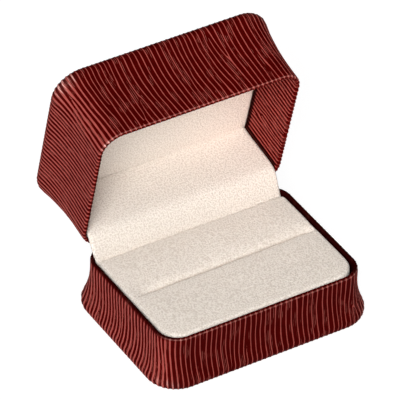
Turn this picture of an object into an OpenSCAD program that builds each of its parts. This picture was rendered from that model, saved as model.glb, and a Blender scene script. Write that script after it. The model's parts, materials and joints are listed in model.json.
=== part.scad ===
// Ring display box: flared leatherette box with a hinged lid and a suede ring pad.
// The origin is on the floor, under the middle of the base. +Z is up, the box opens towards -Y.
// The lid is drawn standing open. All lengths are in millimetres.

/* [Box] */
// Width of the box across its rims
rim_w = 66; // [60:0.5:76]
// Depth of the box across its rims, front to back
rim_d = 47.9; // [45:0.1:56]
// Height of the base, from its rim down to its lower lip
base_h = 17.8; // [16.5:0.1:24]
// Height of the lid, from its rim to its upper lip
lid_h = 25.7; // [23.5:0.1:32]
// Corner radius of the rims, seen from above
corner_r = 7.25; // [7:0.1:10]
// Gap between the two rims when the box is shut
rim_gap = 0.3; // [0.2:0.05:0.5]
// Angle through which the lid opens
open_angle = 76.6; // [65:0.5:88]

/* [Walls] */
// Thickness of the moulded walls at their rims
shell_t = 0.8; // [0.7:0.05:1.1]
// Thickness of the leatherette
leather_t = 0.35; // [0.25:0.05:0.5]
// How far the base's lower lip stands out from its rim
base_flare = 2.5; // [1.4:0.1:3]
// How far the lid's upper lip stands out from its rim
lid_flare = 2.1; // [1.4:0.1:3]
// Radius of the base's lower lip
base_lip_r = 2.9; // [2.2:0.1:3.2]
// Radius of the lid's upper lip
lid_lip_r = 2.7; // [2.2:0.1:3.2]
// Straight stretch of wall under the base's rim
base_straight = 3; // [1:0.1:4]
// Straight stretch of wall above the lid's rim
lid_straight = 5.1; // [2:0.1:8]
// Thickness of the base's floor
floor_t = 1.2; // [0.9:0.1:2]
// Thickness of the lid's top plate
top_t = 1.2; // [0.9:0.1:2]
// Width of the leatherette hem under the floor and over the top
hem_w = 4; // [3:0.1:4.6]
// How far the base's leatherette is turned in below the rim
base_turn_in = 10; // [9.5:0.1:12]
// Thickness of the foot panel and of the lid's top panel
panel_t = 0.5; // [0.4:0.05:1]
// How far each panel's edge lies inside the flat of the lip
panel_inset = 1.2; // [0.8:0.1:2.5]

/* [Ring pad] */
// Thickness of the card under the foam
card_t = 0.6; // [0.4:0.1:1]
// Gap between the pads and the turned-in leatherette
pad_gap = 0.15; // [0.1:0.05:0.3]
// How far the edge of the pads' top lies below the base's rim
pad_drop = 0.35; // [0.1:0.05:1]
// Height of the pads' crown above their edge
pad_crown = 0.35; // [0.2:0.05:0.6]
// How far the pads' sides are drawn in at the foot
pad_draw = 0.3; // [0.1:0.05:0.4]
// Corner radius of the pads at the front, seen from above
pad_corner_r = 6.6; // [6:0.1:8]
// Corner radius of the pads at the slot and at the back
pad_small_r = 1.2; // [1:0.1:2]
// Rounding of the pads' top edge, measured inward
pad_edge = 1.1; // [0.8:0.1:1.6]
// Rounding of the pads' top edge, measured downward
pad_edge_depth = 1.6; // [1:0.1:2.4]
// Middle of the ring slot, behind the middle of the box when negative
slot_y = -0.7; // [-4:0.1:2]
// Width of the ring slot between the two pads
slot_w = 0.5; // [0.4:0.1:1]
// Rounding of the front pad where it drops into the slot
slot_crest = 0.5; // [0.4:0.1:1]
// How far the rear pad rolls forward into the slot
slot_roll = 4.6; // [3:0.1:5]
// How far the rear pad rolls down into the slot
slot_roll_depth = 4; // [3:0.1:5]
// Thickness of the suede over the foam, with its wadding
suede_t = 0.9; // [0.7:0.1:1.2]
// Space kept behind the pads for the hinge
hinge_space = 4.7; // [4.5:0.1:6]

/* [Lid lining] */
// Depth of the lined ceiling above the lid's rim
ceiling_h = 17.2; // [14:0.1:18.5]
// Distance of the lined back from the lid's rear face
back_inset = 5.8; // [5.4:0.1:6.5]
// Height of the back lining's lower edge above the lid's rim
back_start = 0.5; // [0.4:0.1:1.5]
// Thickness of the suede sheet
lining_t = 0.45; // [0.35:0.05:0.6]
// Thickness of the boards behind the suede
board_t = 1; // [0.8:0.1:1.3]
// Gap between the linings and the lid's walls
lining_gap = 0.3; // [0.2:0.05:0.5]
// Clearance between the hinge lining's end and the back lining
web_gap = 0.25; // [0.2:0.05:0.4]

/* [Hinge] */
// Distance of the hinge's axis inside the rear face of the rims
axis_inset = 0.2; // [0:0.05:0.3]
// Width of the hinge
hinge_w = 36; // [32:0.5:42]
// Thickness of the hinge leaves
leaf_t = 0.5; // [0.4:0.05:0.6]
// Reach of each leaf from the hinge's axis
leaf_h = 9; // [8.5:0.1:9.5]
// Depth of the rims' cutouts, from the hinge's axis
cutout_drop = 2.1; // [2.1:0.05:2.4]
// Side clearance of the hinge in the cutouts
cutout_gap = 0.3; // [0.2:0.05:0.5]
// Thickness of the strip that joins each leaf to its knuckles
strip_t = 0.7; // [0.65:0.05:0.9]
// Outer radius of the knuckles
knuckle_r = 1.5; // [1.45:0.05:1.6]
// Width of the lid's middle knuckle
mid_knuckle_w = 21.8; // [18:0.2:24]
// Gap between neighbouring knuckles
knuckle_gap = 0.2; // [0.1:0.05:0.4]
// Radius of the hinge pin
pin_r = 0.6; // [0.5:0.05:0.7]
// Running clearance round the pin
pin_clear = 0.05; // [0.02:0.01:0.08]
// Width of the cam on the middle knuckle
cam_w = 8; // [7:0.5:10]
// Distance of the cam's two flats from the axis
cam_flat = 1.4; // [1.3:0.05:1.45]
// Radius of the cam's corner between its flats
cam_r = 1.75; // [1.7:0.01:1.8]
// Width of the spring tongue
spring_w = 6.6; // [5:0.1:7]
// Thickness of the spring tongue
spring_t = 0.3; // [0.2:0.05:0.35]
// Clearance between the spring tongue and the cam's flat that faces it
spring_gap = 0.1; // [0.05:0.01:0.15]
// Reach of the spring tongue above the axis
spring_tip = 1; // [0.8:0.05:1.1]
// Radius of the rivets' shanks
rivet_r = 0.8; // [0.7:0.05:1]
// Radius of the rivets' heads
rivet_head_r = 1.6; // [1.4:0.05:1.8]
// Height of the rivets' heads
rivet_head_t = 0.5; // [0.3:0.05:0.6]
// Distance of the outer rivets from the middle
rivet_x = 13; // [9:0.5:14]
// Distance of the rivets from the hinge's axis
rivet_drop = 6; // [5.5:0.1:6.5]

/* [Hidden] */
$fn = 64;

// Clearance between pieces that are slid or laid together
touch = 0.02;
// Clearance of a rivet's shank in its holes
rivet_clear = 0.05;
// Steps of the rim's, the bow's and the lip's arcs
rim_steps = 8;
bow_steps = 10;
lip_steps = 8;
// Steps of the pads' corners, edges and crowns
pad_corner_steps = 6;
pad_edge_steps = 6;
pad_crown_steps = 4;
// Inset of the pads' flat middle from their edge
crown_reach = 6;
// Steps of the hinge lining's curve
web_steps = 10;
// Reach of the tool bodies that cut right through
cut = 200;

half_w = rim_w / 2;
half_d = rim_d / 2;
wall_t = shell_t + 2 * leather_t;
rim_r = wall_t / 2;
base_z = panel_t;
rim_z = base_z + base_h;
lid_rim_z = rim_z + rim_gap;
axis_y = half_d - axis_inset;
axis_z = rim_z + rim_gap / 2;
// Faces of the rear walls, measured forward from the axis
rear_inner = wall_t - axis_inset;
rear_shell = leather_t - axis_inset;

floor_z = base_z + leather_t;
card_z = floor_z + floor_t;
foam_z = card_z + card_t;
pad_top = rim_z - pad_drop;
pad_x = half_w - wall_t - pad_gap;
pad_front = -half_d + wall_t + pad_gap;
pad_rear = half_d - wall_t - hinge_space;
slot_front = slot_y - slot_w / 2;
slot_rear = slot_y + slot_w / 2;

lid_top_z = lid_rim_z + lid_h;
plate_z = lid_top_z - leather_t - top_t;
ceiling_z = lid_rim_z + ceiling_h;
back_y = half_d - back_inset;
back_z = lid_rim_z + back_start;

// Points of a wall's outer line moved inward by t: the rim's half round, the straight, the bow
// and the lip. Each point is [distance outward from the rim's outer face, distance from the rim].
function wall_line(h, flare, lip_r, straight, t) =
  let (top = rim_r + straight)
  let (run = h - top - lip_r)
  let (sweep = 2 * atan(flare / run))
  let (bow_r = run / sin(sweep) - lip_r)
  concat(
    [for (i = [0 : rim_steps]) let (a = 180 * i / rim_steps)
      [-rim_r - (rim_r - t) * cos(a), rim_r - (rim_r - t) * sin(a)]],
    [for (i = [0 : bow_steps]) let (a = sweep * i / bow_steps)
      [bow_r - (bow_r + t) * cos(a), top + (bow_r + t) * sin(a)]],
    [for (i = [1 : lip_steps]) let (a = -sweep + (90 + sweep) * i / lip_steps)
      [flare - lip_r + (lip_r - t) * cos(a), h - lip_r + (lip_r - t) * sin(a)]]
  );

function reversed(list) = [for (i = [len(list) - 1 : -1 : 0]) list[i]];

// Section of a moulded wall: flared outside, straight inside
function shell_section(h, flare, lip_r, straight) =
  concat(
    wall_line(h, flare, lip_r, straight, leather_t),
    [[-wall_t + leather_t, h - leather_t]]
  );

// Section of the leatherette: turned in over the rim and hemmed past the lip
function cover_section(h, flare, lip_r, straight, turn_in) =
  concat(
    [[-wall_t, turn_in]],
    wall_line(h, flare, lip_r, straight, 0),
    [[flare - lip_r - hem_w, h], [flare - lip_r - hem_w, h - leather_t]],
    reversed(wall_line(h, flare, lip_r, straight, leather_t)),
    [[-wall_t + leather_t, turn_in]]
  );

// A wall section carried round the box, with its rim at height z and its depth along sense * Z
module wall_ring(section, z, sense) {
  points = [for (p = section) [p[0], sense * p[1]]];
  translate([0, 0, z])
    for (turn = [0 : 3]) {
      across = turn % 2 == 0 ? half_w : half_d;
      along = turn % 2 == 0 ? half_d : half_w;
      rotate([0, 0, 90 * turn]) {
        translate([across, 0, 0])
          rotate([90, 0, 0])
            linear_extrude(2 * (along - corner_r), center = true)
              polygon(points);
        translate([across - corner_r, along - corner_r, 0])
          rotate_extrude(angle = 90)
            translate([corner_r, 0])
              polygon(points);
      }
    }
}

// A plate that follows the rims' outline moved inward by inset
module rim_plate(inset, z, t) {
  w = rim_w - 2 * inset;
  d = rim_d - 2 * inset;
  r = corner_r - inset;
  translate([0, 0, z])
    linear_extrude(t) {
      square([w - 2 * r, d], center = true);
      square([w, d - 2 * r], center = true);
      for (x = [-1, 1], y = [-1, 1])
        translate([x * (w / 2 - r), y * (d / 2 - r)])
          circle(r);
    }
}

// Half width at y of the rims' outline moved inward by inset
function inner_half(y, inset) =
  half_w - corner_r + sqrt(pow(corner_r - inset, 2) - pow(max(0, y - half_d + corner_r), 2));

// A bar along X through points given as [y, z]
module bar(points, w) {
  rotate([90, 0, 90])
    linear_extrude(w, center = true)
      polygon(points);
}

// A round bar along X from x0 to x1
module rod(r, x0, x1) {
  translate([x0, 0, 0])
    rotate([0, 90, 0])
      cylinder(r = r, h = x1 - x0);
}

module at_axis() {
  translate([0, axis_y, axis_z])
    children();
}

// Turns what is drawn on the shut lid to where the open lid is
module opened() {
  at_axis()
    rotate([-open_angle, 0, 0])
      translate([0, -axis_y, -axis_z])
        children();
}

// The same turn for one [y, z] point
function opened_point(p) =
  let (y = p[0] - axis_y, z = p[1] - axis_z)
  [axis_y + y * cos(open_angle) + z * sin(open_angle),
   axis_z - y * sin(open_angle) + z * cos(open_angle)];

// ---- Hinge, drawn round its axis, with the base's half below ----

// Cutout in a rear rim for the hinge
module hinge_cutout() {
  w = hinge_w + 2 * cutout_gap;
  translate([-w / 2, -rear_inner - cutout_gap, -cutout_drop])
    cube([w, 2 * wall_t + cutout_gap, 2 * cutout_drop]);
}

// Holes for the rivets at the given places along X
module rivet_holes(places) {
  for (x = places)
    translate([x, 0, -rivet_drop])
      rotate([90, 0, 0])
        cylinder(r = rivet_r + rivet_clear, h = cut, center = true);
}

// Trims to the turned-in leatherette, leaving its outer layer whole
module turn_in_only() {
  intersection() {
    children();
    translate([-half_w, -2 * wall_t, -cut / 2])
      cube([rim_w, 2 * wall_t - rear_shell, cut]);
  }
}

// Rivets with their heads on the leaf, each lifted by what lies between head and leaf
module rivets(places, lifts) {
  tail = rear_shell + rivet_clear;
  for (i = [0 : len(places) - 1]) {
    seat = rear_inner + leaf_t + lifts[i];
    translate([places[i], 0, -rivet_drop])
      rotate([90, 0, 0]) {
        translate([0, 0, tail])
          cylinder(r = rivet_r, h = seat - tail);
        translate([0, 0, seat])
          cylinder(r1 = rivet_head_r, r2 = rivet_head_r - rivet_head_t / 2, h = rivet_head_t);
      }
  }
}

// Flat leaf on the inside of a rear wall
module leaf_plate() {
  translate([-hinge_w / 2, -rear_inner - leaf_t, -leaf_h])
    cube([hinge_w, leaf_t, leaf_h - cutout_drop]);
}

// Strip and knuckle from x0 to x1
module leaf_knuckle(x0, x1) {
  translate([x0, -rear_inner - leaf_t, -cutout_drop])
    cube([x1 - x0, rear_inner + leaf_t + pin_r, strip_t]);
  rod(knuckle_r, x0, x1);
}

base_rivet_places = [-rivet_x, 0, rivet_x];
lid_rivet_places = [-rivet_x, rivet_x];
outer_knuckle_x = mid_knuckle_w / 2 + knuckle_gap;

module hinge_base_leaf() {
  color("goldenrod")
    at_axis()
      difference() {
        union() {
          leaf_plate();
          leaf_knuckle(-hinge_w / 2, -outer_knuckle_x);
          leaf_knuckle(outer_knuckle_x, hinge_w / 2);
        }
        rod(pin_r + touch, -hinge_w, hinge_w);
        rivet_holes(base_rivet_places);
      }
}

module hinge_base_rivets() {
  color("gold")
    at_axis()
      rivets(base_rivet_places, [0, spring_t, 0]);
}

module hinge_pin() {
  color("silver")
    at_axis()
      rod(pin_r, -hinge_w / 2, hinge_w / 2);
}

// Tongue lying on the base's leaf, stepped out over it to press on the cam's flat
module hinge_spring() {
  foot = -rear_inner - leaf_t;
  near = -cam_flat - spring_gap;
  color("lightsteelblue")
    at_axis()
      difference() {
        bar([
          [foot, -leaf_h + touch], [foot, -cutout_drop + spring_t], [near, -cam_flat / 2],
          [near, spring_tip], [near - spring_t, spring_tip], [near - spring_t, -cam_flat / 2],
          [foot - spring_t, -cutout_drop + spring_t / 2], [foot - spring_t, -leaf_h + touch]
        ], spring_w);
        rivet_holes([0]);
      }
}

// Leaf of the lid, drawn as on the shut lid
module hinge_lid_leaf() {
  half = mid_knuckle_w / 2;
  flat_half = sqrt(pow(cam_r, 2) - pow(cam_flat, 2)) + touch;
  color("goldenrod")
    opened()
      at_axis()
        mirror([0, 0, 1])
          difference() {
            union() {
              leaf_plate();
              leaf_knuckle(-half, half);
              rod(cam_r, -cam_w / 2, cam_w / 2);
            }
            // Flats: one faces the spring when shut, the other when open
            for (side = [0, open_angle])
              rotate([-side, 0, 0])
                translate([-cam_w / 2 - touch, -cam_flat - cam_r, -flat_half])
                  cube([cam_w + 2 * touch, cam_r, 2 * flat_half]);
            rod(pin_r + pin_clear, -hinge_w, hinge_w);
            rivet_holes(lid_rivet_places);
          }
}

module hinge_lid_rivets() {
  color("gold")
    opened()
      at_axis()
        mirror([0, 0, 1])
          rivets(lid_rivet_places, [0, 0]);
}

// ---- Base ----

module base_shell() {
  color("saddlebrown")
    difference() {
      union() {
        wall_ring(shell_section(base_h, base_flare, base_lip_r, base_straight), rim_z, -1);
        rim_plate(wall_t - leather_t, floor_z, floor_t);
      }
      at_axis() {
        hinge_cutout();
        rivet_holes(base_rivet_places);
      }
    }
}

module base_cover() {
  color("darkred")
    difference() {
      wall_ring(
        cover_section(base_h, base_flare, base_lip_r, base_straight, base_turn_in), rim_z, -1);
      at_axis() {
        hinge_cutout();
        turn_in_only()
          rivet_holes(base_rivet_places);
      }
    }
}

module underside_panel() {
  color("dimgray")
    rim_plate(base_lip_r - base_flare + panel_inset, 0, panel_t);
}

module insert_card() {
  color("tan")
    translate([-pad_x, pad_front, card_z])
      card_outline(card_t);
}

// Outline of both pads together, with the front corners rounded
module card_outline(t) {
  w = 2 * pad_x;
  d = pad_rear - pad_front;
  linear_extrude(t) {
    translate([pad_corner_r, 0])
      square([w - 2 * pad_corner_r, d]);
    translate([0, pad_corner_r])
      square([w, d - pad_corner_r]);
    for (x = [pad_corner_r, w - pad_corner_r])
      translate([x, pad_corner_r])
        circle(pad_corner_r);
  }
}

// One ring of points round a pad: x reach, front and rear edges, corner radii and height
function pad_ring(x, y0, y1, r0, r1, z) =
  [for (corner = [0 : 3], i = [0 : pad_corner_steps])
    let (a = 90 * corner + 90 * i / pad_corner_steps)
    let (r = corner < 2 ? r1 : r0)
    [(corner == 0 || corner == 3 ? x - r : r - x) + r * cos(a),
     (corner < 2 ? y1 - r : y0 + r) + r * sin(a), z]];

// A cushion between y0 and y1: drawn-in foot, upright side, rounded edge and crown. Its top edge
// is rounded by pad_edge, but by e0 at the front edge and e1 at the rear edge, down to depth.
module cushion(y0, y1, r0, r1, e0, e1, depth) {
  sides = [for (s = [[pad_draw, foam_z + touch], [pad_draw, foam_z + 1], [0, foam_z + 4]])
    pad_ring(pad_x - s[0], y0 + s[0], y1 - s[0], r0 - s[0], r1 - s[0], s[1])];
  edge = [for (i = [0 : pad_edge_steps])
    let (a = 90 * i / pad_edge_steps)
    let (in = 1 - cos(a))
    pad_ring(
      pad_x - pad_edge * in, y0 + e0 * in, y1 - e1 * in,
      r0 - min(pad_edge, r0 / 2) * in, r1 - min(pad_edge, r1 / 2) * in,
      pad_top - depth * (1 - sin(a)))];
  crown = [for (i = [1 : pad_crown_steps])
    let (f = i / pad_crown_steps)
    pad_ring(
      pad_x - pad_edge - crown_reach * f, y0 + e0 + crown_reach * f, y1 - e1 - crown_reach * f,
      (r0 - min(pad_edge, r0 / 2)) * (1 - f / 2), (r1 - min(pad_edge, r1 / 2)) * (1 - f / 2),
      pad_top + pad_crown * (1 - pow(1 - f, 2)))];
  rings = concat(sides, edge, crown);
  n = 4 * (pad_corner_steps + 1);
  last = n * (len(rings) - 1);
  polyhedron(
    [for (ring = rings) each ring],
    concat(
      [for (i = [1 : n - 2]) [0, i, i + 1]],
      [for (k = [0 : len(rings) - 2], i = [0 : n - 1])
        let (a = k * n + i, b = k * n + (i + 1) % n)
        each [[a, a + n, b], [b, a + n, b + n]]],
      [for (i = [1 : n - 2]) [last, last + i + 1, last + i]]
    ),
    convexity = 4
  );
}

// Foam block between y0 and y1, with its top edge rounded by roll at the slot if roll is over 0
module foam_block(y0, y1, roll, roll_depth) {
  top = pad_top - suede_t;
  low = foam_z + touch;
  intersection() {
    bar(concat(
      [[y1 - suede_t, low], [y1 - suede_t, top]],
      [for (i = [0 : pad_edge_steps])
        let (a = 90 * i / pad_edge_steps)
        [y0 + suede_t + roll * (1 - sin(a)), top - roll_depth * (1 - cos(a))]],
      [[y0 + suede_t, low]]
    ), 2 * (pad_x - suede_t));
    translate([-pad_x + suede_t, pad_front + suede_t, low])
      foam_outline(top - low);
  }
}

// Outline of both foam blocks together, with the front corners rounded
module foam_outline(t) {
  r = pad_corner_r - suede_t;
  w = 2 * (pad_x - suede_t);
  linear_extrude(t) {
    translate([r, 0])
      square([w - 2 * r, cut]);
    translate([0, r])
      square([w, cut]);
    for (x = [r, w - r])
      translate([x, r])
        circle(r);
  }
}

module front_foam() {
  color("lightyellow")
    foam_block(pad_front, slot_front, 0, 0);
}

module rear_foam() {
  color("lightyellow")
    foam_block(slot_rear, pad_rear, slot_roll, slot_roll_depth);
}

module front_pad_cover() {
  color("antiquewhite")
    difference() {
      cushion(
        pad_front, slot_front, pad_corner_r, pad_small_r, pad_edge, slot_crest, pad_edge_depth);
      foam_block(pad_front, slot_front, 0, 0);
    }
}

module rear_pad_cover() {
  color("linen")
    difference() {
      cushion(
        slot_rear, pad_rear, pad_small_r, pad_small_r, slot_roll, pad_edge, slot_roll_depth);
      foam_block(slot_rear, pad_rear, slot_roll, slot_roll_depth);
    }
}

// Flexible web: glued down behind the rear pad, sagging, then rising to the lid's lining
web_foot = [pad_rear + touch + lining_t / 2, pad_top - 5];
web_dip = [pad_rear + 1.6, pad_top - 1.2];
web_end = opened_point([back_y + lining_t / 2, back_z - web_gap - lining_t / 2]);

module hinge_lining() {
  start = [web_foot[0], pad_top - 2.6];
  bend = [for (i = [0 : web_steps])
    let (t = i / web_steps)
    pow(1 - t, 2) * start + 2 * t * (1 - t) * web_dip + t * t * web_end];
  path = concat([web_foot], bend);
  last = len(path) - 1;
  side = [for (i = [0 : last])
    let (d = path[min(i + 1, last)] - path[max(i - 1, 0)])
    [d[1], -d[0]] / norm(d) * lining_t / 2];
  web_half = inner_half(back_y + lining_t, wall_t + lining_gap);
  color("seashell")
    intersection() {
      bar(
        concat(
          [for (i = [0 : last]) path[i] + side[i]],
          reversed([for (i = [0 : last]) path[i] - side[i]])),
        2 * web_half);
      // Inside the base it keeps clear of the rounded corners
      union() {
        rim_plate(wall_t + lining_gap, 0, rim_z + touch);
        translate([-half_w, -half_d, rim_z + touch])
          cube([rim_w, cut, cut]);
      }
    }
}

// ---- Lid ----

module lid_shell() {
  color("saddlebrown")
    opened()
      difference() {
        union() {
          wall_ring(shell_section(lid_h, lid_flare, lid_lip_r, lid_straight), lid_rim_z, 1);
          rim_plate(wall_t - leather_t, plate_z, top_t);
        }
        at_axis() {
          hinge_cutout();
          mirror([0, 0, 1])
            rivet_holes(lid_rivet_places);
        }
      }
}

module lid_cover() {
  turn_in = ceiling_h + lining_t;
  color("darkred")
    opened()
      difference() {
        wall_ring(
          cover_section(lid_h, lid_flare, lid_lip_r, lid_straight, turn_in), lid_rim_z, 1);
        at_axis() {
          hinge_cutout();
          turn_in_only()
            mirror([0, 0, 1])
              rivet_holes(lid_rivet_places);
        }
      }
}

module lid_top_panel() {
  color("maroon")
    opened()
      rim_plate(lid_lip_r - lid_flare + panel_inset, lid_top_z, panel_t);
}

// Space inside the lid's walls, from the front to y, between two heights
module lid_space(y, z0, z1) {
  intersection() {
    rim_plate(wall_t + lining_gap, z0, z1 - z0);
    translate([-cut / 2, y - cut, z0])
      cube([cut, cut, z1 - z0]);
  }
}

module lid_lining() {
  color("floralwhite")
    opened()
      difference() {
        lid_space(back_y + lining_t, back_z, ceiling_z + lining_t);
        translate([-cut / 2, back_y - cut, back_z - cut])
          cube([cut, cut, cut + ceiling_z - back_z]);
      }
}

module ceiling_board() {
  color("tan")
    opened()
      lid_space(back_y + lining_t + board_t, ceiling_z + lining_t, ceiling_z + lining_t + board_t);
}

module back_panel_board() {
  color("tan")
    opened()
      difference() {
        lid_space(back_y + lining_t + board_t, back_z, ceiling_z + lining_t);
        translate([-cut / 2, back_y + lining_t - cut, back_z - cut])
          cube([cut, cut, 2 * cut]);
      }
}

module lid_foam() {
  color("lightyellow")
    opened()
      lid_space(back_y + lining_t + board_t, ceiling_z + lining_t + board_t, plate_z);
}

base_shell();
base_cover();
underside_panel();
insert_card();
front_foam();
rear_foam();
front_pad_cover();
rear_pad_cover();
hinge_base_leaf();
hinge_base_rivets();
hinge_pin();
hinge_spring();
hinge_lining();
lid_shell();
lid_cover();
lid_top_panel();
lid_foam();
ceiling_board();
back_panel_board();
lid_lining();
hinge_lid_leaf();
hinge_lid_rivets();
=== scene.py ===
"""Ring display box: its looks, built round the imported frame. +Z up, and the box opens towards -Y.

Shapes are worked out in millimetres, and the lid's as if it were shut. opened() then turns them to
where the open lid is, and mesh_piece() turns them into metres.
"""

import json
import math

import bpy
import numpy as np
from mathutils import Matrix, Vector


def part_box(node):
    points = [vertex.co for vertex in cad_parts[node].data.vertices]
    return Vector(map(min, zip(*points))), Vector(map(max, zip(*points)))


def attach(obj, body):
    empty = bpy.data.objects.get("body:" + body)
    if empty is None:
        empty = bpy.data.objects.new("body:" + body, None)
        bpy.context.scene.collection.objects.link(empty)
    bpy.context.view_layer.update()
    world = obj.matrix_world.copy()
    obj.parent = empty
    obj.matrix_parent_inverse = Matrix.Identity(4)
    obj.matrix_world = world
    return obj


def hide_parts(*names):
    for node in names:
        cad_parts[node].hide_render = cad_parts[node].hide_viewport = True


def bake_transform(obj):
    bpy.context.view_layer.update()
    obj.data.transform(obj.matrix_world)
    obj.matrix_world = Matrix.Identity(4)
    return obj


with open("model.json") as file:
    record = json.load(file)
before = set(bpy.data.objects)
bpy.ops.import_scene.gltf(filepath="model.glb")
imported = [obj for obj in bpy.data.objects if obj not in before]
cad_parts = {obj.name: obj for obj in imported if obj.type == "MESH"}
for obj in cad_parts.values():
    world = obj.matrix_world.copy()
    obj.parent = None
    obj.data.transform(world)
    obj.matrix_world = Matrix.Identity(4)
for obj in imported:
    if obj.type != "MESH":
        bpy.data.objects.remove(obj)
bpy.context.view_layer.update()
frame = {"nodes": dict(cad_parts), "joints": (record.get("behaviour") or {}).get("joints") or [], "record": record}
MM = 0.001


def box_mm(node):
    """Lowest and highest corner of a CAD node, in millimetres."""
    return [[round(c / MM, 3) for c in corner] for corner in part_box(node)]


# ---- Places that the frame gives, in millimetres ----
hinge = frame["joints"][0]
AXIS_Y, AXIS_Z = (round(c / MM, 3) for c in hinge["pos_m"][1:])
OPEN = math.radians(hinge["range_deg"][1])
RIM_Z = box_mm("base_cover")[1][2]
LID_RIM_Z = round(2 * AXIS_Z - RIM_Z, 3)
# The rear walls are cut down for the hinge: half the cut's width, and its depth below the rim
CUT_HALF = box_mm("hinge_base_leaf")[1][0] + 0.3
CUT_DROP = 1.93
# The pads' sides and front lie a margin inside the CAD's
pad_low, pad_high = box_mm("front_pad_cover")
CROWN, PAD_MARGIN = 0.35, 0.3
PAD_X = round(pad_high[0] - PAD_MARGIN, 3)
PAD_FRONT, PAD_REAR = round(pad_low[1] + PAD_MARGIN, 3), box_mm("rear_pad_cover")[1][1]
PAD_TOP, PAD_FOOT = round(pad_high[2] - CROWN, 3), pad_low[2]
SLOT_FRONT = pad_high[1]
web_low = box_mm("hinge_lining")[0]

# ---- Other sizes, in millimetres ----
# The rims' outline, and the wall with its leatherette
HALF_W, HALF_D, CORNER = 33.0, 23.95, 7.25
WALL, LEATHER, HEM = 1.5, 0.35, 4.0
RIM_R = WALL / 2
# Each half: its depth, flare, lip's radius, straight wall at the rim, depth of the turned-in
# leatherette, rim's height, which way its depth runs, how far its ribs lean on the sides and on the
# front and rear, and how strong its corners' pale marks are: partly wear, partly painted highlight
BASE = dict(h=17.8, flare=2.5, lip=2.9, straight=3.0, turn_in=10.0,
            rim=RIM_Z, sense=-1, lean=(2.4, 0.5), wear_and_highlight=0.4)
LID = dict(h=25.7, flare=2.1, lip=2.7, straight=5.1, turn_in=17.65,
           rim=LID_RIM_Z, sense=1, lean=(1.5, 0.9), wear_and_highlight=1.0)
# The pads' rounded corners and edges, and how far from them their bulge reaches its full height
PAD_CORNER, PAD_EDGE, PAD_EDGE_DEPTH = 6.3, 0.9, 1.3
CROWN_RUN, REAR_CROWN_RUN = 7, 6
# The slot: how its front edge is rounded and slants over half the pad, the width of its front wall,
# its depth, and the roll of the rear pad down into it, a small gap behind the front edge
SLOT_CREST, SLOT_SLANT, SLOT_FALL, SLOT_DEPTH, SLOT_ROLL, SLOT_GAP = 0.5, 0.55, 0.25, 4.0, 4.9, 0.3
# The lining's thickness and distance from the rims' outline, its back and its ceiling
LINING_T, LINING_INSET = 0.45, 1.8
BACK_Y, BACK_Z, CEILING_Z = 18.15, LID_RIM_Z + 0.5, LID_RIM_Z + 17.2
# The flexible web behind the pad: its foot, where its bend starts, and the point it bends towards
WEB_FOOT = np.array([round(web_low[1] + LINING_T / 2, 3), web_low[2]])
WEB_START = np.array([WEB_FOOT[0], PAD_TOP - 2.6])
WEB_DIP = np.array([PAD_REAR + 1.6, PAD_TOP - 1.2])
# The panel on the lid's top: distance from the rims' outline, thickness and rounded edge
PANEL_INSET, PANEL_T, PANEL_EDGE, PANEL_EDGE_DEPTH = 1.8, 0.5, 0.45, 0.3


def opened(points):
    """Turns points of the shut lid, in millimetres, to where the open lid is."""
    y, z = points[..., 1] - AXIS_Y, points[..., 2] - AXIS_Z
    c, s = math.cos(OPEN), math.sin(OPEN)
    return np.stack([points[..., 0], AXIS_Y + y * c + z * s, AXIS_Z - y * s + z * c], -1)


# ---- Meshes ----
def mesh_piece(name, points, faces, material, sharp, uv=None, values=None):
    """A smooth mesh from points in millimetres and quads; uv is one point per corner, in metres."""
    me = bpy.data.meshes.new(name)
    me.from_pydata((np.asarray(points) * MM).tolist(), [], np.asarray(faces).tolist())
    me.polygons.foreach_set("use_smooth", [True] * len(me.polygons))
    if uv is not None:
        skin = me.uv_layers.new(name="skin")
        skin.data.foreach_set("uv", np.asarray(uv, np.float32).ravel())
    for key, value in (values or {}).items():
        layer = me.attributes.new(key, "FLOAT_VECTOR", "POINT")
        layer.data.foreach_set("vector", value.astype(np.float32).ravel())
    me.validate()
    me.set_sharp_from_angle(angle=math.radians(sharp))
    me.materials.append(material)
    piece = bpy.data.objects.new(name, me)
    bpy.context.scene.collection.objects.link(piece)
    return piece


def smoothstep(x, a, b):
    """0 up to a, 1 from b on, and smooth between them."""
    t = np.clip((x - a) / (b - a), 0, 1)
    return t * t * (3 - 2 * t)


def lengths(line):
    """Length along a line up to each of its points."""
    return np.concatenate([[0], np.cumsum(np.linalg.norm(np.diff(line, axis=0), axis=1))])


def grid_faces(rows, columns, start=0, flip=False):
    """Quads of a grid whose points run along its columns first."""
    i, j = np.meshgrid(np.arange(rows - 1), np.arange(columns - 1), indexing="ij")
    a = start + i * columns + j
    quads = [a, a + 1, a + columns + 1, a + columns]
    return np.stack(quads[::-1] if flip else quads, -1).reshape(-1, 4)


def border(rows, columns):
    """Indices round a grid: front row, right side, rear row, left side."""
    return np.concatenate([
        np.arange(columns),
        np.arange(1, rows) * columns + columns - 1,
        (rows - 1) * columns + np.arange(columns - 2, -1, -1),
        np.arange(rows - 2, 0, -1) * columns,
    ])


def band(upper, lower):
    """Quads between two closed rings of point indices."""
    return np.stack([upper, lower, np.roll(lower, -1), np.roll(upper, -1)], -1)


# Rows between the corners lie at least this far from theirs
ROW_GAP = 0.02


def rounded_rows(x, y0, y1, r0, r1, middle, turns=10):
    """Rows across a rectangle with rounded corners: y, half width and the side normal's angle."""
    a = np.linspace(0, math.pi / 2, turns)
    front = [(y0 + r0 * (1 - math.cos(v)), x - r0 * (1 - math.sin(v)), v) for v in a]
    rear = [(y1 - r1 * (1 - math.cos(v)), x - r1 * (1 - math.sin(v)), math.pi - v) for v in a[::-1]]
    between = [(y, x, math.pi / 2) for y in middle if y0 + r0 + ROW_GAP < y < y1 - r1 - ROW_GAP]
    return np.array(front + between + rear)


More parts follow.
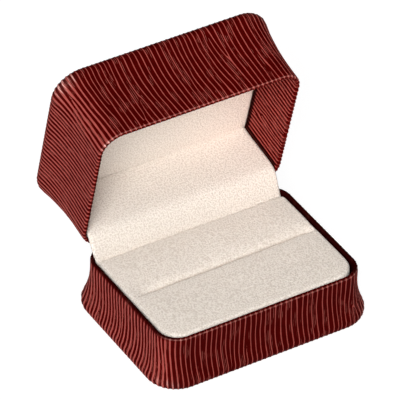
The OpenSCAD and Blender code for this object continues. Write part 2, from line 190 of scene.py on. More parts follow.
def border_normals(table, columns):
    """Outward directions round a grid made from rounded_rows."""
    right = np.stack([np.sin(table[:, 2]), -np.cos(table[:, 2])], -1)
    left = right * [-1, 1]
    front = np.repeat([[0.0, -1.0]], columns, 0)
    rear = np.repeat([[0.0, 1.0]], columns - 1, 0)
    return np.concatenate([front, right[1:], rear, left[-2:0:-1]])


def rounded_edge(reach, depth, steps):
    """A loft's rings down a rounded edge, from just past its top to its side."""
    return [(reach * math.sin(a), depth * (1 - math.cos(a)), 0)
            for a in np.linspace(0, math.pi / 2, steps)[1:]]


def loft(top, table, columns, rings, floor):
    """Points and faces of a closed body: a top grid, rings round its border, and a flat floor.

    A ring is how far it stands out from the top's border, how far it drops below it, and what share
    of the rest of the way to the floor it goes.
    """
    count = len(table) * columns
    edge = border(len(table), columns)
    normals = border_normals(table, columns)
    points = [top]
    for out, drop, share in rings:
        ring = top[edge].copy()
        ring[:, :2] += normals * out
        ring[:, 2] = (ring[:, 2] - drop) * (1 - share) + floor * share
        points.append(ring)
    bottom = top.copy()
    bottom[:, 2] = floor
    last = count + len(rings) * len(edge)
    starts = count + np.arange(len(rings)) * len(edge)
    loops = [edge, *(start + np.arange(len(edge)) for start in starts), last + edge]
    faces = [grid_faces(len(table), columns)]
    faces += [band(upper, lower) for upper, lower in zip(loops, loops[1:])]
    faces.append(grid_faces(len(table), columns, last, True))
    return np.concatenate(points + [bottom]), np.concatenate(faces)


# ---- Noise and ribs ----
def field(shape, steps, low, high, seed):
    """Smooth periodic seeded noise with features between two lengths, of mean square 1."""
    rng = np.random.default_rng(seed)
    k = np.hypot(*np.meshgrid(*[np.fft.fftfreq(n, d) for n, d in zip(shape, steps)], indexing="ij"))
    weight = np.exp(-(k * low) ** 2 * 4) * (k > 1 / high / 2)
    found = np.fft.ifft2(np.fft.fft2(rng.standard_normal(shape)) * weight).real
    return found / found.std()


def sample(grid, s, t):
    """Reads a periodic grid at positions s and t, counted in its own cells."""
    n, m = grid.shape
    i, j = np.floor(s).astype(int), np.floor(t).astype(int)
    fs, ft = s - i, t - j
    i0, i1, j0, j1 = i % n, (i + 1) % n, j % m, (j + 1) % m
    return (
        grid[i0, j0] * (1 - fs) * (1 - ft) + grid[i1, j0] * fs * (1 - ft)
        + grid[i0, j1] * (1 - fs) * ft + grid[i1, j1] * fs * ft
    )


def unevenness(x, y, cell, low, high, seed):
    """Gentle ups and downs of a soft piece, of mean square 1, with features between two lengths."""
    return sample(field((256, 256), (cell, cell), low, high, seed), x / cell, y / cell)


# The grain's grid: cells round a wall and down it, its depth, and how far inside the rim it starts
GRID_N, GRID_M, GRID_DEPTH, GRID_START = 2048, 256, 64.0, 24
# Depth of the grooves, pitch of the ribs, its spread, and how far a rib keeps its course
RIB_DEPTH, RIB_PITCH, RIB_SPREAD, RIB_RUN = 0.16, 1.58, 0.09, 26.0
# The ribs' waviness, long and short: the least and greatest length of its waves, and its size
RIB_WAVES = ((14, 70, 0.22), (4, 14, 0.06))
# Strength below which a rib sinks where it forks, and how soft its flanks are, in half pitches
RIB_FORK, RIB_FLANK = 0.1, 0.07


def ribs(length, pitch, seed):
    """Complex field whose angle is the phase of forking ribs, and whose size is their strength."""
    rng = np.random.default_rng(seed)
    ks = np.fft.fftfreq(GRID_N, length / GRID_N)[:, None]
    kt = np.fft.fftfreq(GRID_M, GRID_DEPTH / GRID_M)[None, :]
    weight = np.exp(-(((ks * pitch - 1) / RIB_SPREAD) ** 2) / 2 - (kt * RIB_RUN) ** 2 * 2)
    noise = rng.standard_normal((GRID_N, GRID_M)) + 1j * rng.standard_normal((GRID_N, GRID_M))
    found = np.fft.ifft2(np.fft.fft2(noise) * weight)
    return found / np.sqrt(np.mean(np.abs(found) ** 2))


def rib_wave(s, t, length, seed):
    """The ribs as a complex number, at s round the wall and t along its section, in millimetres."""
    cells = length / GRID_N, GRID_DEPTH / GRID_M
    count = round(length / RIB_PITCH)
    s, t = s / cells[0], (t + GRID_START) / cells[1]
    shift = 0
    for k, (low, high, size) in enumerate(RIB_WAVES):
        shift = shift + size * sample(field((GRID_N, GRID_M), cells, low, high, seed + 1 + k), s, t)
    return sample(ribs(length, length / count, seed), s + shift / cells[0], t)


def rib_height(wave, share):
    """Height, 0 between the ribs and 1 on them; share is how much of the pitch a rib takes up."""
    beside = np.abs(np.angle(wave)) / math.pi
    return np.clip(np.abs(wave) / RIB_FORK, 0, 1) / (1 + np.exp((beside - share) / RIB_FLANK))


# ---- Shape of the leatherette walls ----
def outline(s):
    """Point and outward normal of the rims' outline at s, leftwards from the rear's middle."""
    a, b, q = HALF_W - CORNER, HALF_D - CORNER, CORNER * math.pi / 2
    at = np.cumsum([0, a, q, 2 * b, q, 2 * a, q, 2 * b, q, a])
    cx = np.interp(s, at, [0, -a, -a, -a, -a, a, a, a, a, 0])
    cy = np.interp(s, at, [b, b, b, -b, -b, -b, -b, b, b, b])
    turn = np.radians(np.interp(s, at, [90, 90, 180, 180, 270, 270, 360, 360, 450, 450]))
    n = np.stack([np.cos(turn), np.sin(turn)], -1)
    return np.stack([cx, cy], -1) + CORNER * n, n


LENGTH = 4 * (HALF_W + HALF_D - 2 * CORNER) + 2 * math.pi * CORNER
ARC_STEPS = 48


def wall_line(w, t):
    """A wall's section moved inward by t, from the turned-in end over the rim and lip to the hem.

    Its points are how far they lie outside the rims' outline and how far from the rim.
    """
    top = RIM_R + w["straight"]
    run = w["h"] - top - w["lip"]
    sweep = 2 * math.atan(w["flare"] / run)
    bow = run / math.sin(sweep) - w["lip"]
    a = np.linspace(0, math.pi, ARC_STEPS)
    b = np.linspace(0, sweep, ARC_STEPS)
    c = np.linspace(-sweep, math.pi / 2, ARC_STEPS)[1:]
    return np.concatenate([
        [[-WALL + t, w["turn_in"]]],
        np.stack([-RIM_R - (RIM_R - t) * np.cos(a), RIM_R - (RIM_R - t) * np.sin(a)], -1),
        np.stack([bow - (bow + t) * np.cos(b), top + (bow + t) * np.sin(b)], -1),
        np.stack([w["flare"] - w["lip"] + (w["lip"] - t) * np.cos(c),
                  w["h"] - w["lip"] + (w["lip"] - t) * np.sin(c)], -1),
        [[w["flare"] - w["lip"] - HEM, w["h"] - t]],
    ])


# A line's direction at a point is taken from this far before it to this far after it
NEAR = 0.05


def along(line, at):
    """Points and outward normals at the given lengths from the line's start."""
    where = lengths(line)
    p = np.stack([np.interp(at, where, line[:, k]) for k in (0, 1)], -1)
    after, before = (np.stack([np.interp(at + e, where, line[:, k]) for k in (0, 1)], -1)
                     for e in (NEAR, -NEAR))
    d = after - before
    d /= np.linalg.norm(d, axis=1)[:, None]
    return p, np.stack([d[:, 1], -d[:, 0]], -1)


def cover_rows(total, rim, inside_step, outside_step):
    """Where a cover's rows lie along its section: closest at the rim, and close at its two ends."""
    hem = total - HEM
    return np.concatenate([
        [0, 0.5, 1.0, 1.5],
        np.arange(2.2, rim - 2.2, inside_step),
        np.arange(rim - 2.2, rim - 0.2, 0.5),
        np.arange(rim - 0.2, rim + 1.8, 0.2),
        np.arange(rim + 1.8, hem, outside_step),
        np.linspace(hem, total, 4),
    ])


def rib_share(w, nx, ny, down):
    """Share of the pitch that a rib takes up, at normal nx, ny and a length down from the rim."""
    # Wider on the sides and on the front left corner, and thin on the rim itself. The ribs are lighter,
    # so this paints light on the sides and corner and shade on the rim; it also shapes the grooves
    highlight_and_wear_mask = (2 * nx * ny) ** 2 * ((nx < 0) & (ny < 0))
    share = 0.17 + 0.2 * nx ** 2 + 0.15 * w["wear_and_highlight"] * highlight_and_wear_mask
    share = share * (1 - 0.75 * smoothstep(down, -1.1, -0.6) * smoothstep(-down, -0.5, -0.1))
    if w is BASE:
        # None on the rims of the sides: painted shade
        share = share * (1 - smoothstep(np.abs(nx), 0.1, 0.7) * smoothstep(-down, -2.0, -0.7))
    return share


def wall_marks(w, nx, ny, inner_y, rows, rim, total):
    """What a cover's colour is mixed with: a painted highlight line on the shoulder, painted shade, and pale
    corners of wear and painted highlight.
    """
    down = (rows - rim)[None, :]
    # Painted highlight: a pale line along the rim's outer shoulder
    shoulder_highlight = np.exp(-((down - 0.85) / 0.17) ** 2) * smoothstep(-ny, 0.1, 0.8)
    # Painted shade just inside the rim on the left
    painted_shade = (smoothstep(-nx - 0.4 * ny, 0.15, 0.7)
             * smoothstep(-down, 0.0, 0.5) * smoothstep(down, -3.4, -2.2))
    if w is LID:
        # Painted shade where the turn-in meets the ceiling and the back
        ceiling = smoothstep(1.9 - rows, 0.3, 0.9)[None, :]
        back = smoothstep(inner_y, BACK_Y - 1.3, BACK_Y - 0.7)
        painted_shade = np.maximum(painted_shade, np.maximum(ceiling, back) * (rows < rim - 1.5)[None, :])
    else:
        # Painted shade on the rims of the sides, and a little on the front wall
        side = smoothstep(np.abs(nx), 0.1, 0.7)
        painted_shade = np.maximum(painted_shade, 0.85 * side * smoothstep(-down, -1.3, -0.3))
        painted_shade = np.maximum(painted_shade, 0.32 * smoothstep(-ny, 0.5, 0.95))
    # Wear and painted highlight on the corners' lips and rims, most at the front left
    corner = (2 * np.abs(nx * ny)) ** 3 * np.where((nx < 0) & (ny < 0), 1, 0.4)
    lip_at = total - rim - HEM - 1.6 * w["lip"]
    on_lip = np.exp(-((down - lip_at) / 1.5) ** 2)
    on_rim = np.exp(-((down - 0.7) / 0.35) ** 2)
    return np.stack([shoulder_highlight, painted_shade, corner * (w["wear_and_highlight"] * on_lip + on_rim)], -1)


# The backing needs few rows. In the hinge's cut a little crown keeps the rows apart
BACK_ROWS, CUT_CROWN = 13, 0.02


def wall_cover(name, w, columns, inside_step, outside_step, seed):
    """The leatherette of one half: ribbed, turned in over the rim, and hemmed past the lip."""
    outer, inner = wall_line(w, 0), wall_line(w, LEATHER)
    total = lengths(outer)[-1]
    rim = w["turn_in"] - RIM_R + RIM_R * math.pi / 2
    rows = cover_rows(total, rim, inside_step, outside_step)
    down = (rows - rim)[None, :]
    s = (np.arange(columns) + 0.5) * LENGTH / columns
    base, normal = outline(s)
    nx, ny = normal[:, :1], normal[:, 1:]
    lean = (-w["lean"][0] * nx + w["lean"][1] * ny) * smoothstep(down, 3, 0.8 * w["h"])
    wave = rib_wave(s[:, None] - lean, down, LENGTH, seed)
    share = rib_share(w, nx, ny, down)
    # Grooves are pressed in, but not at the two ends nor round the hinge's cut
    ends = smoothstep(rows, 0.2, 1.2) * smoothstep(total - rows, 0.2, 1.2)
    cut = ((np.abs(base[:, 0]) < CUT_HALF) & (base[:, 1] > 0))[:, None]
    calm = np.where(cut & (np.abs(down) < 3.2), 0, 1)
    push = -RIB_DEPTH * (1 - rib_height(wave, share)) * ends * calm
    p, n = along(outer, rows)
    back_rows = np.linspace(lengths(inner)[-1], 0, BACK_ROWS)
    back = np.tile(along(inner, back_rows)[0], (columns, 1, 1))
    section = np.concatenate([p + push[..., None] * n, back], 1)
    out, depth = section[..., 0], section[..., 1]
    low = np.repeat([CUT_DROP, CUT_DROP + LEATHER], [len(rows), BACK_ROWS])
    depth = np.where(cut & (depth < low), low - CUT_CROWN * (low - depth), depth)
    xy = base[:, None, :] + out[..., None] * normal[:, None, :]
    points = np.concatenate([xy, (w["rim"] + w["sense"] * depth)[..., None]], -1)
    if w is LID:
        points = opened(points)
    # A tube of quads, closed both ways
    m = points.shape[1]
    i, j = np.meshgrid(np.arange(columns), np.arange(m), indexing="ij")
    quad = [(i, j), (i, j + 1), (i + 1, j + 1), (i + 1, j)]
    if w is LID:
        quad.reverse()
    faces = np.stack([(a % columns) * m + b % m for a, b in quad], -1).reshape(-1, 4)
    t_of = np.concatenate([rows, back_rows]) - rim
    uv = [np.stack([(a + 0.5) * LENGTH / columns, t_of[b % m]], -1) for a, b in quad]
    turn = np.stack([wave.real, wave.imag, share], -1)
    edge = wall_marks(w, nx, ny, base[:, 1:] - WALL * ny, rows, rim, total)
    bare = np.zeros((columns, BACK_ROWS, 3))
    values = {"turn": np.concatenate([turn, bare + [1, 0, 0]], 1).reshape(-1, 3),
              "edge": np.concatenate([edge, bare], 1).reshape(-1, 3)}
    return mesh_piece(name, points.reshape(-1, 3), faces, LEATHERETTE, LEATHER_SHARP,
                      np.stack(uv, 2).reshape(-1, 2) * MM, values)


# ---- Materials ----
def material(name):
    """A new material, its node tree and its shader."""
    m = bpy.data.materials.new(name)
    m.use_nodes = True
    return m, m.node_tree, m.node_tree.nodes["Principled BSDF"]


def own_place(tree):
    """A point's place in its object, in metres."""
    return tree.nodes.new("ShaderNodeTexCoord").outputs["Object"]


def flat_place(tree):
    """A point's place on the flat skin, in metres."""
    n = tree.nodes.new("ShaderNodeUVMap")
    n.uv_map = "skin"
    return n.outputs["UV"]


def attribute(tree, name):
    """The three values that the mesh holds at its points under a name."""
    n = tree.nodes.new("ShaderNodeAttribute")
    n.attribute_name = name
    split = tree.nodes.new("ShaderNodeSeparateXYZ")
    tree.links.new(n.outputs["Vector"], split.inputs[0])
    return split.outputs


def ramp(tree, source, *stops):
    """Grey that follows source between two stops, each a value of source and a grey."""
    r = tree.nodes.new("ShaderNodeValToRGB")
    for element, (at, grey) in zip(r.color_ramp.elements, stops):
        element.position = at
        element.color = (grey, grey, grey, 1)
    tree.links.new(source, r.inputs[0])
    return r.outputs["Color"]


def noise(tree, place, scale, detail, rough=0.5, stretch=None):
    n = tree.nodes.new("ShaderNodeTexNoise")
    n.inputs["Scale"].default_value = scale
    n.inputs["Detail"].default_value = detail
    n.inputs["Roughness"].default_value = rough
    if stretch:
        mapping = tree.nodes.new("ShaderNodeMapping")
        mapping.inputs["Scale"].default_value = stretch
        tree.links.new(place, mapping.inputs["Vector"])
        place = mapping.outputs["Vector"]
    tree.links.new(place, n.inputs["Vector"])
    return n.outputs["Fac"]


def maths(tree, kind, a, b=0, clamp=False):
    n = tree.nodes.new("ShaderNodeMath")
    n.operation = kind
    n.use_clamp = clamp
    for k, v in enumerate((a, b)):
        if isinstance(v, (int, float)):
            n.inputs[k].default_value = v
        else:
            tree.links.new(v, n.inputs[k])
    return n.outputs[0]


def plus(tree, a, b, clamp=False):
    return maths(tree, "ADD", a, b, clamp)


def times(tree, a, b):
    return maths(tree, "MULTIPLY", a, b)


def rise(tree, value, start, width):
    """0 up to start, and 1 from a width further on."""
    return maths(tree, "DIVIDE", maths(tree, "SUBTRACT", value, start), width, True)


def mixed(tree, share, a, b):
    """Colour a, or b where share is 1."""
    n = tree.nodes.new("ShaderNodeMix")
    n.data_type = "RGBA"
    for k, v in ((0, share), (6, a), (7, b)):
        if isinstance(v, tuple):
            n.inputs[k].default_value = (*v, 1)
        else:
            tree.links.new(v, n.inputs[k])
    return n.outputs[2]


def bump(tree, height, strength, distance, bsdf):
    b = tree.nodes.new("ShaderNodeBump")
    b.inputs["Strength"].default_value = strength
    b.inputs["Distance"].default_value = distance
    tree.links.new(height, b.inputs["Height"])
    tree.links.new(b.outputs["Normal"], bsdf.inputs["Normal"])


def shade(colour, *factors):
    return tuple(c * f for c, f in zip(colour, factors))


# Colours of the leatherette: its ground and its ribs from dark to light, the ribs' light partly
# painted highlight, the thin lines between ribs, the painted highlight line on the shoulder, pale
# corners of wear and painted highlight, and painted shade
GROUND = (0.036, 0.0003, 0.0002), (0.082, 0.0014, 0.001)
RIB = (0.26, 0.038, 0.03), (0.46, 0.098, 0.082)
THIN_LINE, SHOULDER_HIGHLIGHT = (0.42, 0.11, 0.09), (0.56, 0.2, 0.17)
PALE_WEAR_AND_HIGHLIGHT, PAINTED_SHADE = (0.9, 0.56, 0.5), (0.006, 0.0004, 0.0004)
# Angle in degrees past which the leatherette's mesh is shaded as an edge, and the suede's never is
LEATHER_SHARP, SUEDE_SHARP = 60, 180


def leatherette():
    """Dark ground with lighter ribs, partly painted highlight, whose phase and share of the pitch come with the
    mesh.
    """
    m, t, bsdf = material("leatherette")
    real, imaginary, share = attribute(t, "turn")
    shoulder_highlight, painted_shade, wear_and_highlight = attribute(t, "edge")
    place = flat_place(t)
    mottle = noise(t, place, 420, 4)
    streak = noise(t, place, 1.0, 2, 0.6, (2600, 220, 1))
    patch = noise(t, place, 1.0, 1, 0.4, (330, 130, 1))
    # How far a point lies from the middle of its rib, in half pitches, and whether it's on the rib
    phase = maths(t, "ARCTAN2", imaginary, real)
    beside = maths(t, "DIVIDE", maths(t, "ABSOLUTE", phase), math.pi)
    reach = times(t, share, plus(t, times(t, mottle, 0.7), 0.65))
    rib = plus(t, maths(t, "DIVIDE", maths(t, "SUBTRACT", reach, beside), 0.16), 0.5, True)
    # Thin broken lines between ribs, in patches, lighter as painted highlight
    between = rise(t, maths(t, "COSINE", times(t, phase, 3)), 0.65, 0.3)
    between = times(t, between, maths(t, "GREATER_THAN", beside, 0.4))
    thin = times(t, times(t, between, rise(t, patch, 0.54, 0.05)), rise(t, streak, 0.44, 0.1))
    # The ribs' lighter colour is partly painted highlight
    colour = mixed(t, rib, mixed(t, mottle, *GROUND), mixed(t, streak, *RIB))
    colour = mixed(t, times(t, thin, 0.8), colour, THIN_LINE)
    # The shoulder's painted highlight line is knobbly where ribs cross it, and the corners' wear and
    # painted highlight is streaky and mostly on ribs
    knobs = plus(t, times(t, maths(t, "COSINE", phase), 0.35), streak, True)
    colour = mixed(t, times(t, shoulder_highlight, knobs), colour, SHOULDER_HIGHLIGHT)
    highlight_and_wear_mask = plus(t, times(t, rise(t, streak, 0.47, 0.1), rib), 0.02, True)
    colour = mixed(t, times(t, wear_and_highlight, highlight_and_wear_mask), colour, PALE_WEAR_AND_HIGHLIGHT)
    # Painted shade
    colour = mixed(t, times(t, painted_shade, 0.9), colour, PAINTED_SHADE)
    t.links.new(colour, bsdf.inputs["Base Color"])
    rough = ramp(t, plus(t, mottle, times(t, streak, 0.3)), (0.3, 0.36), (0.9, 0.5))
    t.links.new(rough, bsdf.inputs["Roughness"])
    bsdf.inputs["Specular IOR Level"].default_value = 0.004
    t.links.new(times(t, rib, 0.1), bsdf.inputs["Coat Weight"])
    bsdf.inputs["Coat Roughness"].default_value = 0.28
    fine = noise(t, place, 5200, 3)
    relief = plus(t, times(t, fine, 0.5), plus(t, streak, thin))
    bump(t, relief, 0.35, 0.00006, bsdf)
    return m


def suede(name, tint, flat=False, slotted=False):
    """Pebbled nap, on the flat skin if there is one, and painted shade down in the ring slot."""
    m, t, bsdf = material(name)
    place = flat_place(t) if flat else own_place(t)
    soft = noise(t, place, 90, 3)
    pebble = noise(t, place, 2100, 1.5)
    nap = noise(t, place, 5200, 3)
    light = tuple(min(0.98, c * 1.07) for c in tint)
    colour = mixed(t, ramp(t, pebble, (0.4, 0), (0.56, 1)), shade(tint, 0.83, 0.79, 0.755), light)
    colour = mixed(t, times(t, soft, 0.3), colour, shade(tint, 0.98, 0.95, 0.92))
    if slotted:
        # Painted shade in the ring slot
        colour = mixed(t, attribute(t, "painted_slot_shade")[0], colour, shade(tint, 0.6, 0.5, 0.43))
    t.links.new(colour, bsdf.inputs["Base Color"])
    bsdf.inputs["Roughness"].default_value = 0.92
    bsdf.inputs["Specular IOR Level"].default_value = 0.15
    bsdf.inputs["Sheen Weight"].default_value = 0.25
    bsdf.inputs["Sheen Roughness"].default_value = 0.5
    bump(t, plus(t, pebble, times(t, nap, 0.35)), 0.8, 0.0004, bsdf)
    return m


def plain(slot, colour, other, rough, scale, metal=0.0, stretch=None, depth=0.00003, spec=0.5):
    """Gives the CAD nodes of one slot a two-tone material: moulding, card, foam or metal."""
    m, t, bsdf = material(slot)
    grain = noise(t, own_place(t), scale, 4, stretch=stretch)
    tone = mixed(t, ramp(t, grain, (0.35, 0), (0.65, 1)), other, colour)
    t.links.new(tone, bsdf.inputs["Base Color"])
    t.links.new(ramp(t, grain, (0.3, rough - 0.08), (0.7, rough + 0.08)), bsdf.inputs["Roughness"])
    bsdf.inputs["Metallic"].default_value = metal
    bsdf.inputs["Specular IOR Level"].default_value = spec
    bump(t, grain, 0.4, depth, bsdf)
    for part in frame["record"]["subparts"]:
        if part["material_slot"] == slot:
            data = frame["nodes"][part["node"]].data
            data.materials.clear()
            data.materials.append(m)


LEATHERETTE = leatherette()
# The pads' suede is the lining's, a little darker: painted shade
SUEDE_PAD = suede("suede_pad", (0.845, 0.775, 0.7), slotted=True)
SUEDE_SHEET = suede("suede_sheet", (0.87, 0.8, 0.725), flat=True)
plain("moulding", (0.09, 0.05, 0.035), (0.06, 0.03, 0.02), 0.55, 900)
plain("foot_card", (0.022, 0.018, 0.018), (0.035, 0.03, 0.03), 0.85, 1500, spec=0.2)
plain("card", (0.52, 0.42, 0.29), (0.42, 0.33, 0.22), 0.85, 1200, stretch=(1, 4, 1), spec=0.2)
plain("foam", (0.8, 0.73, 0.55), (0.62, 0.54, 0.38), 0.95, 2600, depth=0.0003, spec=0.1)
plain("hinge_brass", (0.78, 0.55, 0.24), (0.66, 0.44, 0.18), 0.32, 500, 1.0, (0.05, 1, 1))
plain("hinge_steel", (0.58, 0.58, 0.6), (0.48, 0.48, 0.5), 0.28, 700, 1.0, (0.03, 1, 1))

# ---- Leatherette ----
base_wrap = wall_cover("base_wrap", BASE, columns=1500, inside_step=1.6, outside_step=1.0, seed=11)
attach(base_wrap, "base")
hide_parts("base_cover")
lid_wrap = wall_cover("lid_wrap", LID, columns=1400, inside_step=1.3, outside_step=1.1, seed=23)
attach(lid_wrap, "lid")
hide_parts("lid_cover")

# ---- Ring pad ----
PAD_COLUMNS = 150
# Its lower sides: how far they stand out past the rounded edge, at shares of the way to the floor
PAD_SIDES = ((0.02, 0.3), (0.0, 0.6), (-0.12, 0.85), (-0.3, 1.0))
# Size of its ups and downs, and where it lies in their noise
PAD_WANDER, PAD_PLACE = 0.05, 40


def slot_drop(x, y):
    """How far the pad's surface lies below its top at the slot, which fades out at the left."""
    crest = SLOT_FRONT + SLOT_SLANT * x / PAD_X
    before = np.clip((y - crest + SLOT_CREST) / SLOT_CREST, 0, 1)
    front = SLOT_CREST * (1 - np.sqrt(1 - before ** 2))
    fall = SLOT_CREST + (SLOT_DEPTH - SLOT_CREST) * np.clip((y - crest) / SLOT_FALL, 0, 1)
    behind = np.clip((crest + SLOT_GAP + SLOT_ROLL - y) / (SLOT_ROLL + 0.05), 0, 1)
    rear = SLOT_DEPTH * (1 - np.sqrt(1 - behind ** 2))
    drop = np.where(y < crest, front, np.minimum(fall, rear))
    return drop * smoothstep(x, -PAD_X + 1.0, -PAD_X + 9) * smoothstep(PAD_X - x, 0.5, 3.5)


def pad_crown(x, y):
    """How far the two pads bulge above their edges; the front pad ends at the slot."""
    slot = SLOT_FRONT + SLOT_GAP
    roll_end = SLOT_FRONT + SLOT_ROLL - SLOT_GAP
    across = np.clip((PAD_X - np.abs(x)) / CROWN_RUN, 0, 1)
    front = np.clip(np.minimum(y - PAD_FRONT, slot - y) / CROWN_RUN, 0, 1)
    rear = np.clip(np.minimum(y - roll_end, PAD_REAR - y) / REAR_CROWN_RUN, 0, 1)
    lengthwise = np.where(y < slot, front, rear)
    bulge = CROWN * (1 - (1 - across) ** 2) * (1 - (1 - lengthwise) ** 2)
    wander = unevenness(x + PAD_PLACE, y + PAD_PLACE, cell=0.4, low=6, high=40, seed=5)
    return bulge + PAD_WANDER * wander * across


def ring_pad():
    """Both pads as one padded piece, with the ring slot pressed into it."""
    middle = np.unique(np.round(np.concatenate([
        np.arange(PAD_FRONT + PAD_CORNER, SLOT_FRONT - 1.6, 0.45),
        np.arange(SLOT_FRONT - 1.6, SLOT_FRONT + 1.6, 0.1),
        np.arange(SLOT_FRONT + 1.6, SLOT_FRONT + 6, 0.25),
        np.arange(SLOT_FRONT + 6, PAD_REAR, 0.45),
    ]), 3))
    table = rounded_rows(PAD_X - PAD_EDGE, PAD_FRONT + PAD_EDGE, PAD_REAR - PAD_EDGE,
                         PAD_CORNER - PAD_EDGE, 0.3, middle)
    x = table[:, 1, None] * np.linspace(-1, 1, PAD_COLUMNS)
    y = np.repeat(table[:, :1], PAD_COLUMNS, 1)
    drop = slot_drop(x, y)
    top = np.stack([x, y, PAD_TOP + pad_crown(x, y) - drop], -1).reshape(-1, 3)
    rings = rounded_edge(PAD_EDGE, PAD_EDGE_DEPTH, 8)
    rings += [(PAD_EDGE + out, PAD_EDGE_DEPTH, share) for out, share in PAD_SIDES]
    points, faces = loft(top, table, PAD_COLUMNS, rings, PAD_FOOT)
    painted_slot_shade = np.zeros((len(points), 3))
    # Painted shade down in the slot, strongest where it drops deepest
    painted_slot_shade[:x.size, 0] = smoothstep(drop, 0.8, 2.3).ravel()
    return mesh_piece("ring_pad", points, faces, SUEDE_PAD, SUEDE_SHARP, values={"painted_slot_shade": painted_slot_shade})


pad = ring_pad()
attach(pad, "base")
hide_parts("front_pad_cover", "rear_pad_cover")

# ---- Lid's lining with the flexible web ----
LINING_COLUMNS = 130
# The path is worked out on points this far apart
PATH_STEP = 0.1
# How the path's bends over the hinge and at the crease are eased: over how many points each way,
# and how far off that ends
EASE = ((40, 11.0), (4, 1.6))
# How far the bend over the hinge stands off the board's end, how far off that starts, and the
# length over which it grows
WEB_LIFT, LIFT_REACH, LIFT_RUN = 0.4, 15, 11
# Half widths of the web, at its foot and just before its join with the back, and of the back
WEB_HALF, BACK_HALF = (30.85, 30.95), 31.08
# The sheet's edges turn in this far, over this width
TUCK, TUCK_W = 0.5, 0.8
# Size of its ups and downs, and where it lies in their noise
LINING_PUFF, LINING_PLACE = 0.06, (40, 4.5)


def lining_path():
    """Middle line of the sheet, from its foot behind the pad to the front of the ceiling.

    Returns its points y, z, their lengths from the foot, and the lengths of its join over the hinge
    and of its crease.
    """
    back, ceiling = BACK_Y + LINING_T / 2, CEILING_Z + LINING_T / 2
    lid = np.array([[0, back, BACK_Z], [0, back, ceiling], [0, -HALF_D + LINING_INSET, ceiling]])
    lid = opened(lid)[:, 1:]
    t = np.linspace(0, 1, 24)[:, None]
    web = (1 - t) ** 2 * WEB_START + 2 * t * (1 - t) * WEB_DIP + t * t * lid[0]
    line = np.concatenate([[WEB_FOOT], web, lid[1:]])
    where = lengths(line)
    join, crease = where[-3], where[-2]
    at = np.arange(0, where[-1], PATH_STEP)
    path = np.stack([np.interp(at, where, line[:, k]) for k in (0, 1)], -1)
    for (width, reach), centre in zip(EASE, (join, crease)):
        kernel = np.exp(-np.linspace(-2, 2, 2 * width + 1) ** 2)
        kernel /= kernel.sum()
        padded = np.pad(path, ((width, width), (0, 0)), mode="edge")
        eased = np.stack([np.convolve(padded[:, k], kernel, "valid") for k in (0, 1)], -1)
        near = smoothstep(reach - np.abs(at - centre), 0, reach * 0.5)[:, None]
        path = path * (1 - near) + eased * near
    lift = WEB_LIFT * smoothstep(LIFT_REACH - np.abs(at - join), 0, LIFT_RUN)
    dy, dz = np.gradient(path[:, 0]), np.gradient(path[:, 1])
    size = np.hypot(dy, dz)
    return path + lift[:, None] * np.stack([-dz / size, dy / size], -1), at, join, crease


def lining_rows(join, crease, total, radius):
    """Where the sheet's rows lie along its path: closer at its bends and its rounded corners."""
    spans = ((0.4, join - 4, 0.6), (join - 4, join + 4, 0.35), (join + 4, crease - 2.5, 0.6),
             (crease - 2.5, crease + 2.5, 0.25), (crease + 2.5, total - radius, 0.6))
    corner = total - radius * (1 - np.cos(np.linspace(math.pi / 2, 0, 14)))
    return np.unique(np.concatenate([[0.0], *(np.arange(*span) for span in spans), corner]))


def lining_sheet():
    """The lining as one sheet; also its length and where its join lies, in millimetres."""
    path, at, join, crease = lining_path()
    total = at[-1]
    radius = CORNER - LINING_INSET
    rows = lining_rows(join, crease, total, radius)

    def on_path(where):
        return np.stack([np.interp(where, at, path[:, k]) for k in (0, 1)], -1)

    middle = on_path(rows)
    d = on_path(rows + 0.15) - on_path(rows - 0.15)
    d /= np.hypot(d[:, 0], d[:, 1])[:, None]
    normal = np.stack([-d[:, 1], d[:, 0]], -1)  # towards the open side
    # Half widths: the web's, the back's, and the ceiling's with its rounded front corners
    ceiling_half = HALF_W - LINING_INSET
    half = np.interp(rows, [0, join - 6, join, crease, crease + 1, total],
                     [*WEB_HALF, BACK_HALF, BACK_HALF, ceiling_half, ceiling_half])
    left = np.clip((radius - (total - rows)) / radius, 0, 1)
    half = half - radius * (1 - np.sqrt(1 - left ** 2))
    p = np.linspace(-1, 1, LINING_COLUMNS)
    x = half[:, None] * np.sign(p) * (1 - (1 - np.abs(p)) ** 1.15)
    # The sheet puffs a little and turns in at its sides and its front end
    side = TUCK * np.clip(1 - (half[:, None] - np.abs(x)) / TUCK_W, 0, 1) ** 2
    end = TUCK * np.clip(1 - (total - rows) / TUCK_W, 0, 1) ** 2
    run = np.repeat(rows[:, None], LINING_COLUMNS, 1)
    puff = unevenness(x + LINING_PLACE[0], run + LINING_PLACE[1], cell=0.5, low=8, high=60, seed=8)
    out = LINING_PUFF * puff - np.maximum(side, end[:, None])
    sides = []
    for offset in (LINING_T / 2, -LINING_T / 2):
        yz = middle[:, None] + normal[:, None] * (out + offset)[..., None]
        sides.append(np.concatenate([x[..., None], yz], -1).reshape(-1, 3))
    edge = border(len(rows), LINING_COLUMNS)
    faces = np.concatenate([
        grid_faces(len(rows), LINING_COLUMNS),
        grid_faces(len(rows), LINING_COLUMNS, x.size, True),
        band(edge, edge + x.size),
    ])
    flat = np.stack([x, run], -1).reshape(-1, 2)
    flat = np.concatenate([flat, flat])[faces.ravel()] * MM
    piece = mesh_piece("suede_lining", np.concatenate(sides), faces, SUEDE_SHEET, SUEDE_SHARP, flat)
    return piece, total, on_path(join)


lining, lining_length, join_mm = lining_sheet()
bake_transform(lining)
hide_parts("hinge_lining", "lid_lining")

# ---- Leatherette panel on the lid's top ----
PANEL_COLUMNS = 312
# Its ribs: share of the pitch, depth of the grooves, length round which they repeat, and its place
PANEL_SHARE, PANEL_GROOVE, PANEL_LENGTH, PANEL_PLACE = 0.28, 0.13, 215.0, (40, 25)


